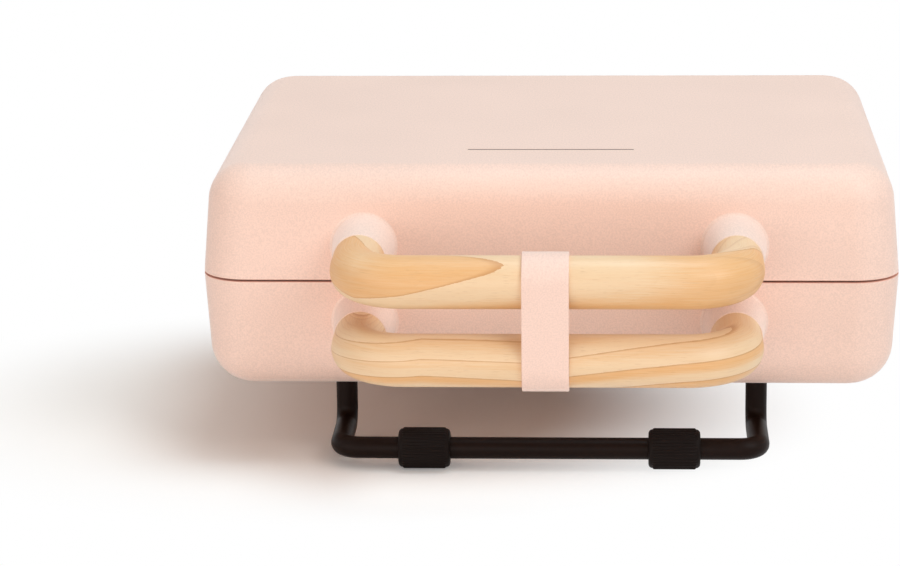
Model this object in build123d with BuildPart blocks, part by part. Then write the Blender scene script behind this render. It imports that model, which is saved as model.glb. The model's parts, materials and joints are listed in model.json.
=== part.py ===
from build123d import *
import math
import os
from collections import namedtuple

os.makedirs("parts", exist_ok=True)

# Waffle maker with a hinged lid, in millimetres.
# X runs to the right, Y to the back and Z up. The origin is on the table, under the middle of the whole outline.

# Body: two drafted shells that meet at the seam
body_width = 255.0
body_depth = 200.0
corner_radius = 17.0
seam_height = 69.4
seam_gap = 0.8
lid_rise = 40.6
base_drop = 42.3
lid_draft = 4.4
base_draft = 3.3
lid_edge_radius = 14.2
base_edge_radius = 15.3
wall = 2.5

# Handles: a bent wooden dowel on each half, held in two moulded collars
dowel_radius = 9.35
handle_reach = 51.4
arm_spacing = 134.4
bend_radius = 18.0
upper_bar_rise = 12.9
lower_bar_drop = 15.3
collar_length = 21.8
collar_base_radius = 11.4
collar_rim_radius = 9.6
collar_rim_round = 0.6
collar_root_round = 1.0
tenon_radius = 7.3
socket_depth = 16.0
pad_radius = 4.0
pad_height = 3.0

# Strap that buttons the two handles together
strap_width = 16.4
strap_thickness = 1.2
strap_clearance = 0.15
strap_wrap = 240.0
lip_wrap = 90.0
strap_tail = 3.0

# Hinge at the back
hinge_offset = 7.0
hinge_spacing = 140.0
knuckle_radius = 5.5
knuckle_width = 14.0
ear_width = 6.0
ear_gap = 0.3
ear_root = 2.0
ear_drop = 3.0
ear_length = 14.0
hinge_pin_radius = 2.0
hinge_pin_head_radius = 3.2
hinge_pin_head_length = 1.4
lead_bore_radius = 1.1

# Cooking plates with their wells and pegs
plate_width = 226.0
plate_depth = 148.0
plate_corner = 10.0
plate_rim = 3.5
well_width = 100.0
well_length = 126.0
well_spacing = 108.0
well_depth = 11.0
well_corner = 7.0
well_draft = 12.0
plate_floor = 3.0
block_margin = 3.0
peg_columns = 4
peg_rows = 5
peg_groove = 6.0
peg_height = 7.6
peg_draft = 15.0
peg_edge = 0.8
gutter_width = 2.4
gutter_depth = 1.0
plate_tab_width = 14.0
plate_tab_reach = 3.0
plate_tab_thickness = 2.5
plate_tab_spacing = 120.0

# Frames that carry the plates in the shells
frame_recess = 1.0
ledge_thickness = 2.5
skirt_depth = 8.6
skirt_wall = 2.0
opening_margin = 1.0

# Sheet metal and heating elements behind the plates
sheet = 0.8
reflector_depth = 23.7
reflector_margin_x = 3.0
reflector_margin_y = 5.3
heater_radius = 3.3
heater_gap = 1.2
heater_half_width = 92.0
heater_half_depth = 48.0
heater_bend = 14.0
heater_terminal_spacing = 36.0
heater_end = 78.0
heater_pin_radius = 1.2
heater_pin_length = 8.0
clip_width = 6.0
clip_foot = 4.0

# Plate catches: a sprung thumb slide at the front of each frame
catch_width = 22.0
catch_body = 14.5
catch_thickness = 2.0
catch_bite = 3.0
tongue_thickness = 1.0
tongue_width = 14.0
catch_travel = 4.0
stem_width = 6.0
stem_length = 6.0
stem_setback = 6.0
stem_foot_width = 12.0
stem_foot_thickness = 1.5
thumb_ridge = 0.8
thumb_ridge_width = 1.2
thumb_ridge_count = 3
spring_leaf = 0.4
spring_height = 1.6
spring_half_width = 4.5

# Pilot light: a slit in the lid's top with a light guide behind it
slot_length = 62.0
slot_width = 1.1
slot_setback = 38.9
guide_flange = 1.5
guide_overlap = 2.5
guide_recess = 0.05
board_length = 84.0
board_width = 12.0
board_thickness = 1.6
board_drop = 6.5
board_post_spacing = 76.0
lamp_radius = 2.4
lamp_spacing = 40.0

# Wire stands with ribbed rubber feet
wire_radius = 4.0
stand_half_width = 76.7
stand_setback = 29.0
stand_toe = 4.6
stand_bend = 7.0
foot_radius = 7.55
foot_length = 18.9
foot_inset = 45.7
foot_rib_count = 36
foot_rib_width = 0.75
foot_rib_height = 0.6
foot_chamfer = 1.6
socket_radius = 7.0
socket_height = 13.0
socket_cap = 1.7
stand_pin_radius = 1.5
stand_pin_length = 15.0
stand_pin_height = 6.0

# Screws
screw_radius = 1.75
screw_head_radius = 3.2
screw_head_height = 2.4
screw_bite = 10.0
screw_side_inset = 23.5
post_margin = 1.2
lid_screw_margin = 10.0
post_radius = 5.5
boss_radius = 4.2
boss_depth = 22.0
counterbore_radius = 3.7
counterbore_depth = 8.0
board_screw_radius = 1.2
board_screw_head_radius = 2.3
board_screw_head_height = 1.3

# Mains inlet, thermostat, fuse and wiring
bush_bore_radius = 3.6
bush_radius = 6.0
bush_flange_radius = 8.5
bush_flange = 3.0
bush_inside = 9.0
bush_x = 45.0
bush_depth = 24.0
thermostat_radius = 8.0
thermostat_height = 6.0
thermostat_cap_radius = 5.5
thermostat_cap_height = 3.5
thermostat_plate = 24.0
fuse_radius = 2.2
fuse_length = 14.0
terminal_length = 26.0
terminal_width = 14.0
terminal_height = 12.0
terminal_setback = 30.0
terminal_ways = 3
terminal_well_radius = 2.4
terminal_well_depth = 5.0
lead_radius = 1.1
lead_depth = 33.0
lead_bend = 2.8

# Ventilation slots in the underside
vent_length = 24.0
vent_width = 3.0
vent_pitch_x = 30.0
vent_pitch_y = 9.0
vent_columns = 4
vent_rows = 3

# Clearances
fit = 0.3
slide_fit = 0.2
running_fit = 0.05

# Places worked out from the sizes above
half_gap = seam_gap / 2
front_overhang = handle_reach + dowel_radius + strap_clearance + strap_thickness
back_overhang = hinge_offset + knuckle_radius
body_y = (front_overhang - back_overhang) / 2
front_y = body_y - body_depth / 2
back_y = body_y + body_depth / 2
bar_y = front_y - handle_reach
hinge_y = back_y + hinge_offset
slot_y = front_y + slot_setback
plate_front_y = body_y - plate_depth / 2
frame_top = half_gap + frame_recess
plate_seat = half_gap + plate_rim
frame_floor = plate_seat + ledge_thickness
well_floor = half_gap + well_depth
plate_bottom = well_floor + plate_floor
block_width = well_spacing + well_width + 2 * block_margin
block_depth = well_length + 2 * block_margin
opening_width = block_width + 2 * opening_margin
opening_depth = block_depth + 2 * opening_margin
heater_depth = plate_bottom + heater_gap + heater_radius
reflector_inside = reflector_depth - sheet
arm_x = (-arm_spacing / 2, arm_spacing / 2)
screw_hole = screw_radius + running_fit
screw_x = body_width / 2 - screw_side_inset
base_screw_y = block_depth / 2 + reflector_margin_y + post_radius + post_margin
lid_screw_y = plate_depth / 2 + lid_screw_margin

Half = namedtuple("Half", "name side height draft edge bar_depth")
lower = Half("lower", -1, base_drop, base_draft, base_edge_radius, lower_bar_drop)
upper = Half("upper", 1, lid_rise, lid_draft, lid_edge_radius, upper_bar_rise)


def level(half, depth):
    """Height of a plane that lies this deep in a half, counted from the seam."""
    return seam_height + half.side * depth


def flat(half, depth, x=0.0, y=0.0):
    """A level sketch plane in a half, centred on a point counted from the body's middle."""
    return Plane((x, body_y + y, level(half, depth)))


def facing_back(x, y, z):
    """An upright sketch plane that looks along +Y."""
    return Plane(origin=(x, y, z), x_dir=(1, 0, 0), z_dir=(0, 1, 0))


def drawn_in(half, depth):
    """How far the drafted wall has moved in at a depth."""
    return (depth - half_gap) * math.tan(math.radians(half.draft))


def drafted_form(half, inset, near, far, rounded=False):
    """The outline of a half, moved in by inset, between two depths."""
    with BuildPart() as form:
        for depth in (near, far):
            shrink = 2 * (inset + drawn_in(half, depth))
            with BuildSketch(flat(half, depth)):
                RectangleRounded(body_width - shrink, body_depth - shrink, corner_radius - inset)
        loft()
        if rounded:
            far_face = form.faces().sort_by(Axis.Z)[0 if half.side < 0 else -1]
            fillet(far_face.edges(), half.edge - inset)
    return form.part


def face_y(half):
    """Where the front wall is at the height of the handle's bar."""
    return front_y + drawn_in(half, half.bar_depth)


def rim_y(half):
    """Where the collars end and the bare wood begins."""
    return face_y(half) - collar_length


def pad_y(half):
    """The flat inside the front wall that a handle screw's head sits on."""
    return face_y(half) + wall + pad_height


def hinge_lug(half, x, width):
    """One knuckle with its root on the back wall of a half."""
    root = Plane(origin=(x, 0, seam_height), x_dir=(0, 1, 0), z_dir=(1, 0, 0))
    with BuildPart() as lug:
        with BuildSketch(root):
            with Locations((hinge_y, 0)):
                Circle(knuckle_radius)
            with Locations((back_y - ear_root / 2, half.side * (ear_drop + ear_length / 2))):
                Rectangle(ear_root, ear_length)
            make_hull()
        extrude(amount=width / 2, both=True)
        with BuildSketch(root):
            with Locations((hinge_y, 0)):
                Circle(hinge_pin_radius + running_fit)
        extrude(amount=width, both=True, mode=Mode.SUBTRACT)
    return lug.part


def plain_shell(half):
    """A half's outer skin, with pads and holes for the handle screws."""
    outside = drafted_form(half, 0, half_gap, half.height, rounded=True)
    inside = drafted_form(half, wall, half_gap, half.height - wall, rounded=True)
    pad_root = face_y(half) + wall / 2
    with BuildPart() as skin:
        add(outside)
        add(inside, mode=Mode.SUBTRACT)
        for x in arm_x:
            z = level(half, half.bar_depth)
            with BuildSketch(facing_back(x, pad_root, z)):
                Circle(pad_radius)
            extrude(amount=pad_y(half) - pad_root)
            with BuildSketch(facing_back(x, pad_y(half), z)):
                Circle(screw_hole)
            extrude(amount=-2 * (pad_height + wall), mode=Mode.SUBTRACT)
    return skin.part


def screw(start, direction, shank, shank_radius=screw_radius, head_radius=screw_head_radius,
          head_height=screw_head_height):
    """A pan-head screw whose head's underside is at start and whose shank runs along direction."""
    seat = Plane(origin=start, z_dir=direction)
    with BuildPart() as fastener:
        with BuildSketch(seat):
            Circle(shank_radius)
        extrude(amount=shank)
        with BuildSketch(seat):
            Circle(head_radius)
        extrude(amount=-head_height)
        top = fastener.faces().sort_by(Axis(start, direction))[0]
        fillet(top.edges(), head_height / 3)
    return fastener.part


# Base shell: skin, stand sockets, screw posts, hinge ears, vents and the hole for the inlet bush
base_screw_spots = [(x, y) for x in (-screw_x, screw_x) for y in (-base_screw_y, base_screw_y)]
stand_leg_y = (front_y + stand_setback, back_y - stand_setback)
stand_leg_spots = [(x, y) for x in (-stand_half_width, stand_half_width) for y in stand_leg_y]
base_floor = base_drop - wall
socket_top = base_floor - socket_height
leg_top = socket_top + socket_cap
stand_pin_depth = socket_top + stand_pin_height
ear_offset = knuckle_width / 2 + ear_gap + ear_width / 2
bush_y = back_y - drawn_in(lower, bush_depth)

with BuildPart() as base_shell:
    add(plain_shell(lower))
    for x, y in stand_leg_spots:
        with BuildSketch(Plane((x, y, level(lower, base_drop - wall / 2)))):
            Circle(socket_radius)
        extrude(amount=socket_height + wall / 2)
    for x, y in base_screw_spots:
        with BuildSketch(flat(lower, base_drop, x, y)):
            Circle(post_radius)
        extrude(amount=base_drop - boss_depth)
    add(drafted_form(lower, 0, half_gap, base_drop, rounded=True), mode=Mode.INTERSECT)
    for x, y in stand_leg_spots:
        with BuildSketch(Plane((x, y, level(lower, base_drop)))):
            Circle(wire_radius + running_fit)
        extrude(amount=base_drop - leg_top, mode=Mode.SUBTRACT)
        across = Plane(origin=(x, y, level(lower, stand_pin_depth)), z_dir=(1, 0, 0))
        with BuildSketch(across):
            Circle(stand_pin_radius + running_fit)
        extrude(amount=socket_radius + fit, both=True, mode=Mode.SUBTRACT)
    for x, y in base_screw_spots:
        with BuildSketch(flat(lower, base_drop, x, y)):
            Circle(counterbore_radius)
        extrude(amount=counterbore_depth, mode=Mode.SUBTRACT)
        with BuildSketch(flat(lower, base_drop, x, y)):
            Circle(screw_hole)
        extrude(amount=base_drop, mode=Mode.SUBTRACT)
    with BuildSketch(flat(lower, base_drop)):
        with GridLocations(vent_pitch_x, vent_pitch_y, vent_columns, vent_rows):
            SlotOverall(vent_length, vent_width)
    extrude(amount=wall, mode=Mode.SUBTRACT)
    with BuildSketch(facing_back(bush_x, bush_y, level(lower, bush_depth))):
        Circle(bush_radius + running_fit)
    extrude(amount=2 * wall, both=True, mode=Mode.SUBTRACT)
    for station in (-hinge_spacing / 2, hinge_spacing / 2):
        for x in (station - ear_offset, station + ear_offset):
            add(hinge_lug(lower, x, ear_width))
base_shell.part.label = "base_shell"
export_step(base_shell.part, "parts/base_shell.step")

# Lid shell: skin, screw posts, lamp board posts, hinge knuckles and the pilot slit
lid_screw_spots = [(x, y) for x in (-screw_x, screw_x) for y in (-lid_screw_y, lid_screw_y)]
lid_ceiling = lid_rise - wall
board_top = lid_ceiling - board_drop
board_spots = (-board_post_spacing / 2, board_post_spacing / 2)

with BuildPart() as lid_shell:
    add(plain_shell(upper))
    for x, y in lid_screw_spots:
        with BuildSketch(flat(upper, frame_floor, x, y)):
            Circle(boss_radius)
        extrude(amount=lid_rise - frame_floor)
    for x in board_spots:
        with BuildSketch(Plane((x, slot_y, level(upper, board_top)))):
            Circle(board_screw_head_radius)
        extrude(amount=board_drop + wall / 2)
    add(drafted_form(upper, 0, half_gap, lid_rise, rounded=True), mode=Mode.INTERSECT)
    for x, y in lid_screw_spots:
        with BuildSketch(flat(upper, frame_floor, x, y)):
            Circle(screw_hole)
        extrude(amount=2 * screw_bite, mode=Mode.SUBTRACT)
    for x in board_spots:
        with BuildSketch(Plane((x, slot_y, level(upper, board_top)))):
            Circle(board_screw_radius + running_fit)
        extrude(amount=board_drop - running_fit, mode=Mode.SUBTRACT)
    with BuildSketch(Plane((0, slot_y, level(upper, lid_rise)))):
        SlotOverall(slot_length, slot_width)
    extrude(amount=-2 * wall, mode=Mode.SUBTRACT)
    for station in (-hinge_spacing / 2, hinge_spacing / 2):
        add(hinge_lug(upper, station, knuckle_width))
lid_shell.part.label = "lid_shell"
export_step(lid_shell.part, "parts/lid_shell.step")

# Hinge pins: the left one is a tube that the lid's leads pass through
pin_start = knuckle_width / 2 + ear_gap + ear_width
for side, station in (("left", -hinge_spacing / 2), ("right", hinge_spacing / 2)):
    outward = -1 if station < 0 else 1
    pin_end = station + outward * pin_start
    with BuildPart() as hinge_pin:
        with BuildSketch(Plane(origin=(pin_end, hinge_y, seam_height), z_dir=(outward, 0, 0))):
            Circle(hinge_pin_radius)
        extrude(amount=-2 * pin_start)
        with BuildSketch(Plane(origin=(pin_end, hinge_y, seam_height), z_dir=(outward, 0, 0))):
            Circle(hinge_pin_head_radius)
        extrude(amount=hinge_pin_head_length)
        if side == "left":
            with BuildSketch(Plane(origin=(pin_end, hinge_y, seam_height), z_dir=(outward, 0, 0))):
                Circle(lead_bore_radius)
            extrude(amount=2 * pin_start, both=True, mode=Mode.SUBTRACT)
    hinge_pin.part.label = f"hinge_pin_{side}"
    export_step(hinge_pin.part, f"parts/hinge_pin_{side}.step")

# Catch places, counted back from the plate's front edge
catch_back = plate_front_y - slide_fit
catch_front = plate_front_y - catch_body
catch_floor = frame_top + catch_thickness
stem_back = plate_front_y - stem_setback
stem_front = stem_back - stem_length
skirt_inside = wall + fit + skirt_wall


def slab(half, x_half, y_low, y_high, near, far):
    """A block between two depths of a half, centred on X."""
    with BuildPart() as block:
        with BuildSketch(Plane((0, (y_low + y_high) / 2, level(half, near)))):
            Rectangle(2 * x_half, y_high - y_low)
        extrude(amount=half.side * (far - near))
    return block.part


for half in (lower, upper):
    # Frame: a ring that fills the shell's mouth and carries the plate on a ledge
    with BuildPart() as frame:
        add(drafted_form(half, wall + fit, frame_top, skirt_depth))
        shrink = 2 * (skirt_inside + drawn_in(half, skirt_depth))
        with BuildSketch(flat(half, skirt_depth)):
            RectangleRounded(body_width - shrink, body_depth - shrink, corner_radius - skirt_inside)
        extrude(amount=half.side * (frame_floor - skirt_depth), mode=Mode.SUBTRACT)
        with BuildSketch(flat(half, frame_top)):
            RectangleRounded(plate_width + 2 * fit, plate_depth + 2 * fit, plate_corner + fit)
        extrude(amount=half.side * (plate_seat - frame_top), mode=Mode.SUBTRACT)
        with BuildSketch(flat(half, frame_top)):
            RectangleRounded(opening_width, opening_depth, well_corner + block_margin + opening_margin)
        extrude(amount=half.side * skirt_depth, mode=Mode.SUBTRACT)
        add(slab(half, catch_width / 2 + slide_fit, catch_front - catch_travel - slide_fit, plate_front_y,
                 frame_top, catch_floor + slide_fit), mode=Mode.SUBTRACT)
        add(slab(half, stem_width / 2 + slide_fit, stem_front - catch_travel - slide_fit,
                 stem_back + slide_fit, frame_top, skirt_depth), mode=Mode.SUBTRACT)
        if half is lower:
            with BuildSketch(flat(half, frame_floor)):
                with Locations(*base_screw_spots):
                    Circle(boss_radius)
            extrude(amount=half.side * (boss_depth - frame_floor))
            with BuildSketch(flat(half, boss_depth)):
                with Locations(*base_screw_spots):
                    Circle(screw_hole)
            extrude(amount=-half.side * (screw_bite + fit), mode=Mode.SUBTRACT)
        else:
            with BuildSketch(flat(half, frame_top)):
                with Locations(*lid_screw_spots):
                    Circle(counterbore_radius)
            extrude(amount=half.side * (screw_head_height + slide_fit), mode=Mode.SUBTRACT)
            with BuildSketch(flat(half, frame_top)):
                with Locations(*lid_screw_spots):
                    Circle(screw_hole)
            extrude(amount=half.side * skirt_depth, mode=Mode.SUBTRACT)
    frame.part.label = f"{half.name}_frame"
    export_step(frame.part, f"parts/{half.name}_frame.step")

    # Plate: a cast tray with two wells of pegs, two tabs at the back and a notch for the catch
    floor_width = well_width - 2 * well_depth * math.tan(math.radians(well_draft))
    floor_length = well_length - 2 * well_depth * math.tan(math.radians(well_draft))
    pitch_x = floor_width / peg_columns
    pitch_y = floor_length / peg_rows
    well_x = (-well_spacing / 2, well_spacing / 2)
    with BuildPart() as plate:
        with BuildSketch(flat(half, half_gap)):
            RectangleRounded(plate_width, plate_depth, plate_corner)
        extrude(amount=half.side * plate_rim)
        with BuildSketch(flat(half, plate_seat)):
            RectangleRounded(block_width, block_depth, well_corner + block_margin)
        extrude(amount=half.side * (plate_bottom - plate_seat), taper=well_draft / 2)
        for x in (-plate_tab_spacing / 2, plate_tab_spacing / 2):
            tab_end = opening_depth / 2 + plate_tab_reach
            with BuildSketch(flat(half, frame_floor + slide_fit, x, tab_end - plate_tab_width / 2)):
                Rectangle(plate_tab_width, plate_tab_width)
            extrude(amount=half.side * plate_tab_thickness)
        with BuildSketch(flat(half, half_gap)):
            with Locations((well_x[0], 0), (well_x[1], 0)):
                RectangleRounded(well_width, well_length, well_corner)
        extrude(amount=half.side * well_depth, taper=well_draft, mode=Mode.SUBTRACT)
        with BuildSketch(flat(half, well_floor)):
            for x in well_x:
                with Locations((x, 0)):
                    with GridLocations(pitch_x, pitch_y, peg_columns, peg_rows):
                        Rectangle(pitch_x - peg_groove, pitch_y - peg_groove)
        extrude(amount=-half.side * peg_height, taper=peg_draft)
        peg_tops = plate.faces(Select.LAST).filter_by(Plane.XY).group_by(Axis.Z)[-1 if half.side < 0 else 0]
        chamfer(peg_tops.edges(), peg_edge)
        with BuildSketch(flat(half, half_gap)):
            gutter_x = block_width / 2 + gutter_width
            gutter_y = block_depth / 2 + gutter_width
            RectangleRounded(2 * gutter_x, 2 * gutter_y, plate_corner)
            RectangleRounded(2 * (gutter_x - gutter_width), 2 * (gutter_y - gutter_width),
                             plate_corner - gutter_width, mode=Mode.SUBTRACT)
        extrude(amount=half.side * gutter_depth, mode=Mode.SUBTRACT)
        add(slab(half, tongue_width / 2 + fit, plate_front_y, plate_front_y + catch_bite + fit,
                 half_gap, frame_top + tongue_thickness + slide_fit), mode=Mode.SUBTRACT)
    plate.part.label = f"{half.name}_plate"
    export_step(plate.part, f"parts/{half.name}_plate.step")

    # Catch: thumb slide, tongue over the plate's rim, and a stem that a foot keeps in the frame
    ridge_pitch = 2 * thumb_ridge_width
    ridge_start = catch_front + 2 * thumb_ridge_width
    with BuildPart() as catch:
        add(slab(half, catch_width / 2, catch_front, catch_back, frame_top, catch_floor))
        add(slab(half, tongue_width / 2, catch_back, plate_front_y + catch_bite,
                 frame_top, frame_top + tongue_thickness))
        add(slab(half, stem_width / 2, stem_front, stem_back, catch_floor,
                 frame_floor + slide_fit + stem_foot_thickness))
        add(slab(half, stem_foot_width / 2, stem_front, stem_back, frame_floor + slide_fit,
                 frame_floor + slide_fit + stem_foot_thickness))
        for n in range(thumb_ridge_count):
            ridge_y = ridge_start + n * ridge_pitch
            add(slab(half, catch_width / 2 - fit, ridge_y, ridge_y + thumb_ridge_width,
                     frame_top - thumb_ridge, frame_top))
    catch.part.label = f"{half.name}_catch"
    export_step(catch.part, f"parts/{half.name}_catch.step")

    # Catch spring: a folded leaf between the frame's skirt and the catch's foot
    spring_y0 = front_y + skirt_inside + drawn_in(half, skirt_depth) + spring_leaf / 2
    spring_y1 = stem_front - spring_leaf / 2
    fold = (spring_y1 - spring_y0) / 3
    with BuildPart() as catch_spring:
        with BuildSketch(Plane.XY.offset(level(half, frame_floor + slide_fit))):
            with BuildLine():
                Polyline(
                    (-spring_half_width, spring_y0), (spring_half_width, spring_y0),
                    (-spring_half_width, spring_y0 + fold), (spring_half_width, spring_y0 + 2 * fold),
                    (-spring_half_width, spring_y1), (spring_half_width, spring_y1))
            trace(line_width=spring_leaf)
        extrude(amount=half.side * spring_height)
    catch_spring.part.label = f"{half.name}_catch_spring"
    export_step(catch_spring.part, f"parts/{half.name}_catch_spring.step")

    # Heating element: one bent tube with a bare pin at each end
    end_x = heater_terminal_spacing / 2
    far_y = body_y + heater_end
    with BuildPart() as heater:
        with BuildLine(Plane.XY.offset(level(half, heater_depth))) as route:
            FilletPolyline(
                (-end_x, far_y),
                (-end_x, body_y + heater_half_depth),
                (-heater_half_width, body_y + heater_half_depth),
                (-heater_half_width, body_y - heater_half_depth),
                (heater_half_width, body_y - heater_half_depth),
                (heater_half_width, body_y + heater_half_depth),
                (end_x, body_y + heater_half_depth),
                (end_x, far_y),
                radius=heater_bend)
        with BuildSketch(route.line ^ 0):
            Circle(heater_radius)
        sweep()
        for x in (-end_x, end_x):
            with BuildSketch(facing_back(x, far_y, level(half, heater_depth))):
                Circle(heater_pin_radius)
            extrude(amount=heater_pin_length)
    heater.part.label = f"{half.name}_heater"
    export_step(heater.part, f"parts/{half.name}_heater.step")

    # Reflector: a sheet tray under the element, with two holes for the element's ends
    tray_width = block_width + 2 * reflector_margin_x
    tray_depth = block_depth + 2 * reflector_margin_y
    tray_corner = plate_corner
    with BuildPart() as reflector:
        with BuildSketch(flat(half, frame_floor)):
            RectangleRounded(tray_width, tray_depth, tray_corner)
        extrude(amount=half.side * (reflector_depth - frame_floor))
        with BuildSketch(flat(half, frame_floor)):
            RectangleRounded(tray_width - 2 * sheet, tray_depth - 2 * sheet, tray_corner - sheet)
        extrude(amount=half.side * (reflector_inside - frame_floor), mode=Mode.SUBTRACT)
        for x in (-end_x, end_x):
            with BuildSketch(facing_back(x, body_y + tray_depth / 2, level(half, heater_depth))):
                Circle(heater_radius + fit)
            extrude(amount=2 * sheet, both=True, mode=Mode.SUBTRACT)
    reflector.part.label = f"{half.name}_reflector"
    export_step(reflector.part, f"parts/{half.name}_reflector.step")

    # Clips that hold the element down on the reflector
    clip_inside = heater_radius + running_fit
    clip_outside = clip_inside + sheet
    clip_drop = reflector_inside - heater_depth
    along_y = Vector(0, half.side, 0)
    along_x = Vector(-half.side, 0, 0)
    clip_planes = [
        Plane(origin=(-heater_half_width, body_y, level(half, heater_depth)), x_dir=(1, 0, 0), z_dir=along_y),
        Plane(origin=(heater_half_width, body_y, level(half, heater_depth)), x_dir=(1, 0, 0), z_dir=along_y),
        Plane(origin=(-heater_half_width / 2, body_y - heater_half_depth, level(half, heater_depth)),
              x_dir=(0, 1, 0), z_dir=along_x),
        Plane(origin=(heater_half_width / 2, body_y - heater_half_depth, level(half, heater_depth)),
              x_dir=(0, 1, 0), z_dir=along_x),
    ]
    with BuildPart() as clips:
        for plane in clip_planes:
            with BuildSketch(plane):
                Circle(clip_outside)
                with Locations((0, -clip_drop / 2)):
                    Rectangle(2 * clip_outside, clip_drop)
                with Locations((0, sheet / 2 - clip_drop)):
                    Rectangle(2 * (clip_outside + clip_foot), sheet)
                Circle(clip_inside, mode=Mode.SUBTRACT)
                with Locations((0, -clip_drop)):
                    Rectangle(2 * clip_inside, 2 * clip_drop, mode=Mode.SUBTRACT)
            extrude(amount=clip_width / 2, both=True)
    clips.part.label = f"{half.name}_heater_clips"
    export_step(clips.part, f"parts/{half.name}_heater_clips.step")

    # Handle: a wooden dowel bent into a bow, with a tenon at each end
    bar_z = level(half, half.bar_depth)
    rim = rim_y(half)
    tenon_end = rim + socket_depth - fit
    with BuildPart() as handle:
        with BuildLine(Plane.XY.offset(bar_z)) as bow:
            FilletPolyline((arm_x[0], rim), (arm_x[0], bar_y), (arm_x[1], bar_y), (arm_x[1], rim),
                           radius=bend_radius)
        with BuildSketch(bow.line ^ 0):
            Circle(dowel_radius)
        sweep()
        for x in arm_x:
            with BuildSketch(facing_back(x, rim, bar_z)):
                Circle(tenon_radius)
            extrude(amount=tenon_end - rim)
            with BuildSketch(facing_back(x, tenon_end, bar_z)):
                Circle(screw_hole)
            extrude(amount=-(screw_bite + fit), mode=Mode.SUBTRACT)
    handle.part.label = f"{half.name}_handle"
    export_step(handle.part, f"parts/{half.name}_handle.step")

    # Collars: tapered sockets that flare softly into the drafted front wall
    slope = math.radians(half.draft)
    collar_taper = math.degrees(math.atan((collar_base_radius - collar_rim_radius) / collar_length))
    for side, x in zip(("left", "right"), arm_x):
        wall_plane = Plane(origin=(x, face_y(half), bar_z), x_dir=(1, 0, 0),
                           z_dir=(0, -math.cos(slope), half.side * math.sin(slope)))
        with BuildPart() as collar:
            with BuildSketch(facing_back(x, rim, bar_z)):
                Circle(collar_rim_radius)
            extrude(amount=collar_length + wall, taper=-collar_taper)
            fillet(collar.edges().filter_by(GeomType.CIRCLE).sort_by(Axis.Y)[0], collar_rim_round / 2)
            with BuildSketch(wall_plane):
                Circle(collar_base_radius + 2 * collar_root_round)
            extrude(amount=-wall)
            outward = Axis(wall_plane.origin, wall_plane.z_dir)
            seat_face = collar.faces().filter_by(GeomType.PLANE).sort_by(outward)[-2]
            fillet(seat_face.inner_wires()[0].edges(), collar_root_round)
            split(bisect_by=wall_plane, keep=Keep.TOP)
            with BuildSketch(facing_back(x, rim, bar_z)):
                Circle(tenon_radius + running_fit)
            extrude(amount=socket_depth, mode=Mode.SUBTRACT)
            with BuildSketch(facing_back(x, rim, bar_z)):
                Circle(screw_hole)
            extrude(amount=2 * collar_length, mode=Mode.SUBTRACT)
        collar.part.label = f"{half.name}_collar_{side}"
        export_step(collar.part, f"parts/{half.name}_collar_{side}.step")

    # Handle screws, driven from inside the shell into the tenons
    with BuildPart() as handle_screws:
        for x in arm_x:
            add(screw((x, pad_y(half), bar_z), (0, -1, 0), pad_y(half) - tenon_end + screw_bite))
    handle_screws.part.label = f"{half.name}_handle_screws"
    export_step(handle_screws.part, f"parts/{half.name}_handle_screws.step")

# Housing screws: the base's come up from below, the lid's go in beside the plate
with BuildPart() as base_screws:
    seat = base_drop - counterbore_depth
    for x, y in base_screw_spots:
        start = (x, body_y + y, level(lower, seat))
        add(screw(start, (0, 0, 1), seat - boss_depth + screw_bite))
base_screws.part.label = "base_screws"
export_step(base_screws.part, "parts/base_screws.step")

with BuildPart() as lid_screws:
    seat = frame_top + screw_head_height + slide_fit
    for x, y in lid_screw_spots:
        start = (x, body_y + y, level(upper, seat))
        add(screw(start, (0, 0, 1), frame_floor - seat + 2 * screw_bite - fit))
lid_screws.part.label = "lid_screws"
export_step(lid_screws.part, "parts/lid_screws.step")

# Strap: a band round the upper bar that hangs over the lower bar and curls under it
strap_inside = dowel_radius + strap_clearance
strap_outside = strap_inside + strap_thickness
upper_bar_z = level(upper, upper_bar_rise)
lower_bar_z = level(lower, lower_bar_drop)
strap_plane = Plane(origin=(0, bar_y, 0), x_dir=(0, 1, 0), z_dir=(1, 0, 0))

with BuildPart() as handle_strap:
    with BuildSketch(strap_plane):
        with BuildLine():
            outer = CenterArc((0, upper_bar_z), strap_outside, 180, -strap_wrap)
            inner = CenterArc((0, upper_bar_z), strap_inside, 180, -strap_wrap)
            Line(outer @ 1, inner @ 1)
            Polyline(outer @ 0, (-strap_outside, lower_bar_z), (-strap_inside, lower_bar_z), inner @ 0)
        make_face()
    extrude(amount=strap_width / 2, both=True)
handle_strap.part.label = "handle_strap"
export_step(handle_strap.part, "parts/handle_strap.step")

with BuildPart() as strap_lip:
    with BuildSketch(strap_plane):
        with BuildLine():
            outer = CenterArc((0, lower_bar_z), strap_outside, 180, lip_wrap)
            inner = CenterArc((0, lower_bar_z), strap_inside, 180, lip_wrap)
            Line(outer @ 0, inner @ 0)
            Polyline(outer @ 1, (strap_tail, lower_bar_z - strap_outside),
                     (strap_tail, lower_bar_z - strap_inside), inner @ 1)
        make_face()
    extrude(amount=strap_width / 2, both=True)
strap_lip.part.label = "strap_lip"
export_step(strap_lip.part, "parts/strap_lip.step")

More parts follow.
